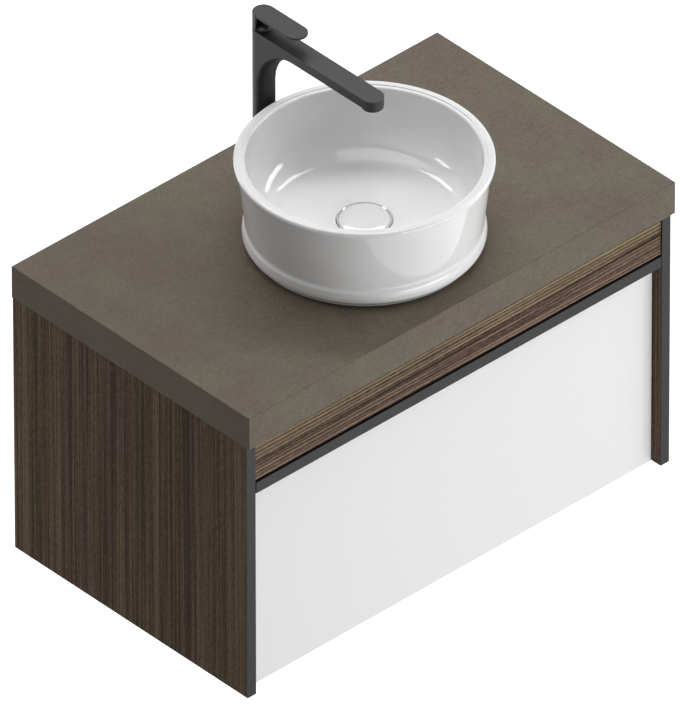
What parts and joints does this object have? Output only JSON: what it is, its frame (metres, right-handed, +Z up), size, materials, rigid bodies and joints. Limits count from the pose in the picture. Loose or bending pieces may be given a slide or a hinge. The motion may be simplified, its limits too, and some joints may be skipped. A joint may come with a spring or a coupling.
{
  "type": "vessel sink on vanity",
  "caption": "Wall-hung bathroom vanity with a grip-rail drawer, a thick stone-look top, a round vessel basin with push waste, and a tall single-lever mixer.",
  "frame": {"origin": "middle of the cabinet's width, on the wall plane, level with the cabinet's underside", "axes": "+X right for someone facing the front, +Y into the wall, +Z up; the front faces -Y"},
  "size_m": [0.8, 0.48, 0.759],
  "materials": {
    "walnut_laminate": "matte wood-grain laminate",
    "fascia_laminate": "matte wood-grain laminate",
    "carcass_board": "laminated board",
    "core_board": "raw moisture-proof board",
    "drawer_board": "light grey laminated board",
    "beech": "raw beech",
    "white_lacquer": "high-gloss white lacquer on board",
    "anthracite_anodised": "dark anodised, satin",
    "stone_top": "matt taupe sintered stone",
    "white_glaze": "white gloss glaze",
    "graphite_coating": "matt graphite coating on brass",
    "chrome_plate": "bright chrome",
    "zinc_steel": "zinc-plated steel",
    "bare_brass": "turned brass",
    "black_rubber": "matt",
    "grey_sealant": "cured silicone",
    "white_plastic": "moulded",
    "black_plastic": "moulded",
    "grey_plastic": "moulded"
  },
  "bodies": {
    "cabinet": {"side_panel_left": "walnut_laminate", "side_panel_right": "walnut_laminate", "edging_left": "anthracite_anodised", "edging_right": "anthracite_anodised", "bottom_panel": "carcass_board", "rear_rail_upper": "carcass_board", "rear_rail_lower": "carcass_board", "front_stretcher": "carcass_board", "fascia_panel": "fascia_laminate", "dowels": "beech", "cam_bolts": "zinc_steel", "cam_housings": "zinc_steel", "hanger_housings": "white_plastic", "hanger_hooks": "zinc_steel", "wall_plates": "zinc_steel", "top_brackets": "zinc_steel", "top_screws": "zinc_steel", "countertop_plate": "stone_top", "countertop_edge_front": "stone_top", "countertop_edge_left": "stone_top", "countertop_edge_right": "stone_top", "countertop_core": "core_board", "basin": "white_glaze", "basin_sealant": "grey_sealant", "waste_body": "chrome_plate", "waste_gaskets": "black_rubber", "waste_backnut": "white_plastic", "tailpiece": "chrome_plate", "trap_body": "white_plastic", "trap_inlet_nut": "white_plastic", "trap_outlet_nut": "white_plastic", "trap_cup": "white_plastic", "trap_outlet_pipe": "white_plastic", "tap_base_ring": "graphite_coating", "tap_body": "graphite_coating", "tap_stud": "zinc_steel", "tap_clamp_washer": "zinc_steel", "tap_clamp_nut": "bare_brass", "cartridge_body": "white_plastic", "cartridge_nut": "bare_brass", "aerator_insert": "grey_plastic", "runners_fixed": "zinc_steel", "panel_screws": "zinc_steel"},
    "drawer": {"drawer_front": "white_lacquer", "grip_rail": "anthracite_anodised", "front_brackets": "zinc_steel", "drawer_screws": "zinc_steel", "drawer_sides": "drawer_board", "drawer_bottom": "drawer_board", "drawer_back": "drawer_board", "runners_drawer": "zinc_steel"},
    "runner_slides": {"runners_middle": "zinc_steel"},
    "waste_plug": {"plug_cap": "white_glaze", "plug_seal": "black_rubber", "plug_stem": "zinc_steel"},
    "mixer_swivel": {"cartridge_head": "black_plastic"},
    "mixer_lever": {"cartridge_spindle": "chrome_plate", "tap_lever": "graphite_coating", "lever_grub_screw": "black_plastic", "lever_index_cap": "graphite_coating"}
  },
  "joints": [
    {"name": "drawer_slide", "type": "slide", "parent": "cabinet", "child": "drawer", "axis": [0, -1, 0], "range_m": [0, 0.34]},
    {"name": "runner_slide", "type": "slide", "parent": "cabinet", "child": "runner_slides", "axis": [0, -1, 0], "range_m": [0, 0.17]},
    {"name": "plug_lift", "type": "slide", "parent": "cabinet", "child": "waste_plug", "axis": [0, 0, 1], "range_m": [0, 0.009]},
    {"name": "lever_swivel", "type": "hinge", "parent": "cabinet", "child": "mixer_swivel", "pos_m": [0, -0.0788, 0.713], "axis": [0, 0, 1], "range_deg": [-45, 45]},
    {"name": "lever_tilt", "type": "hinge", "parent": "mixer_swivel", "child": "mixer_lever", "pos_m": [0, -0.0788, 0.713], "axis": [-1, 0, 0], "range_deg": [0, 18]}
  ],
  "couplings": [
    {"joint": "runner_slide", "follows": "drawer_slide", "ratio": 0.5}
  ]
}
